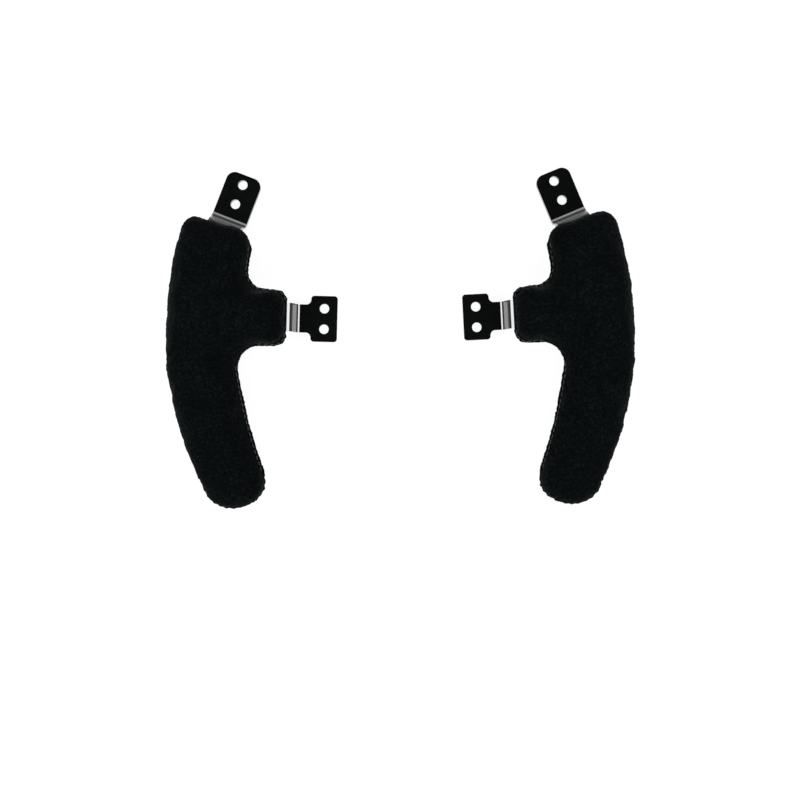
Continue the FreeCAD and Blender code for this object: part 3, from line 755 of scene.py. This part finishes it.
def foam_material():
    """Charcoal moulded foam with open cells."""
    material, tree, shader, add = new_material("charcoal_foam")
    place = add("ShaderNodeTexCoord").outputs["Object"]
    cells = add("ShaderNodeTexVoronoi", Scale=900.0)
    tree.links.new(place, cells.inputs["Vector"])
    stops = ((0.1, (0.012, 0.012, 0.013)), (0.6, (0.05, 0.05, 0.052)))
    tree.links.new(ramp(tree, add, cells.outputs["Distance"], stops), shader.inputs["Base Color"])
    shader.inputs["Roughness"].default_value = 0.9
    add_bump(tree, add, shader, cells.outputs["Distance"], 0.6, 0.4 * MM)
    return material


def glowing_floor_material():
    """A pale floor with a painted glow: it gives off light of its own, strongest in its middle, and grows
    dimmer towards the studio's wall.

    The places of its stops are distances from its middle, in metres."""
    material, tree, shader, add = new_material("painted_glow_floor")
    place = add("ShaderNodeTexCoord").outputs["Object"]
    away = add("ShaderNodeVectorMath", operation="LENGTH")
    tree.links.new(place, away.inputs[0])
    # Painted glow: the floor's own light, bright in the middle so that the grips cast almost no shadow on
    # it, dimmer further out.
    stops = ((0.30, (0.93, 0.93, 0.93)), (0.55, (0.62, 0.62, 0.62)), (1.0, (0.42, 0.42, 0.42)))
    tree.links.new(ramp(tree, add, away.outputs["Value"], stops), shader.inputs["Emission Color"])
    shader.inputs["Emission Strength"].default_value = 1.0
    shader.inputs["Base Color"].default_value = (0.06, 0.06, 0.06, 1.0)
    shader.inputs["Roughness"].default_value = 1.0
    shader.inputs["Specular IOR Level"].default_value = 0.0
    return material


def use_material(item, material):
    """One material for a whole object."""
    item.data.materials.clear()
    item.data.materials.append(material)


# ---------------------------------------------------------------- studio

def make_studio():
    """A round pale floor that curves up into a wall, open at the top."""
    flat = FLOOR_RADIUS - WALL_BEND
    profile = [(radius, 0.0) for radius in (*FLOOR_RINGS, flat)]
    for k in range(1, BEND_STEPS + 1):
        turn = math.pi / 2 * k / BEND_STEPS
        profile.append((flat + WALL_BEND * math.sin(turn), WALL_BEND - WALL_BEND * math.cos(turn)))
    profile.append((FLOOR_RADIUS, WALL_HEIGHT))
    vertices, faces = [(0.0, 0.0, -FLOOR_DROP)], []
    for radius, height in profile:
        for k in range(FLOOR_SIDES):
            turn = 2 * math.pi * k / FLOOR_SIDES
            vertices.append((radius * math.cos(turn), radius * math.sin(turn), height - FLOOR_DROP))
    for k in range(FLOOR_SIDES):
        after = (k + 1) % FLOOR_SIDES
        faces.append((0, 1 + k, 1 + after))
        for ring in range(len(profile) - 1):
            a, b = 1 + ring * FLOOR_SIDES, 1 + (ring + 1) * FLOOR_SIDES
            faces.append((a + k, b + k, b + after, a + after))
    floor = mesh_object("studio_floor", vertices, faces)
    shade_smooth(floor)
    # The floor glows with painted light of its own.
    use_material(floor, glowing_floor_material())


def soft_light(name, place, power):
    """A soft box that faces the grips."""
    data = bpy.data.lights.new(name, "AREA")
    data.shape = "RECTANGLE"
    data.size, data.size_y = BOX_SIZE
    data.energy = power
    item = bpy.data.objects.new(name, data)
    item.location = place
    item.rotation_euler = (Vector((0.0, 0.0, MIDDLE)) - Vector(place)).to_track_quat("-Z", "Y").to_euler()
    bpy.context.scene.collection.objects.link(item)


def make_lights():
    """Four soft boxes round the table, none of them overhead, so flat gloss faces stay black."""
    for name, turn, power in BOX_POWERS:
        angle = math.radians(turn)
        place = (BOX_AWAY * math.cos(angle), BOX_AWAY * math.sin(angle), BOX_UP)
        soft_light("soft_box_" + name, place, power)
    world = bpy.data.worlds.new("studio_world")
    world.use_nodes = True
    background = world.node_tree.nodes["Background"]
    background.inputs["Color"].default_value = (0.9, 1.0, 1.0, 1.0)
    background.inputs["Strength"].default_value = 0.012
    bpy.context.scene.world = world


def make_camera():
    """Straight above the table, a little towards the tips, so the pair sits high in the picture."""
    data = bpy.data.cameras.new("camera")
    data.lens, data.sensor_width = LENS, SENSOR
    data.clip_start = 0.01
    camera = bpy.data.objects.new("camera", data)
    camera.location = (*CAMERA_OFFSET, MIDDLE + VIEW_WIDTH * LENS / SENSOR)
    camera.rotation_euler = (0.0, 0.0, math.radians(CAMERA_ROLL))
    bpy.context.scene.collection.objects.link(camera)
    bpy.context.scene.camera = camera
    bpy.context.scene.view_settings.view_transform = "Standard"


# ---------------------------------------------------------------- assembly

def surface_reader(item):
    """A function that gives the cover's height over a point, on its front or on its rear."""
    graph = bpy.context.evaluated_depsgraph_get()
    shape = item.evaluated_get(graph)
    far = 0.1

    def read(point, front):
        sign = 1.0 if front else -1.0
        start = Vector((point.x, point.y, MIDDLE + sign * far))
        hit, spot, _, _ = shape.ray_cast(start, Vector((0, 0, -sign)))
        return spot.z if hit else MIDDLE + sign * LIP_HALF

    return read


def dress(side, materials):
    """Everything that one grip gets."""
    body = side + "_grip"
    plan = Plan(side)
    stitches = stitch_places(side, plan)
    cover = make_cover(side, plan, stitches)
    use_material(cover, materials["suede"])
    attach(cover, body)
    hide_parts(side + "_front_suede", side + "_rear_suede")
    foam = make_foam(side, plan)
    use_material(foam, materials["foam"])
    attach(foam, body)
    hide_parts(side + "_front_foam", side + "_rear_foam")
    bpy.context.view_layer.update()
    surface = surface_reader(cover)
    rng = random.Random(STITCH_SEED + SIDES.index(side))
    for seam in SEAMS:
        row = make_stitch_row(side, seam, stitches[seam], surface, rng)
        use_material(row, materials["thread"])
        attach(row, body)
        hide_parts("%s_%s" % (side, seam))
    use_material(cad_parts[side + "_insert_plate"], materials["steel"])
    use_material(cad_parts[side + "_outer_seam_thread"], materials["thread"])


make_camera()
make_studio()
make_lights()
MATERIALS = {
    "suede": suede_material(),
    "steel": steel_material(),
    "thread": thread_material(),
    "foam": foam_material(),
}
for grip_side in SIDES:
    dress(grip_side, MATERIALS)
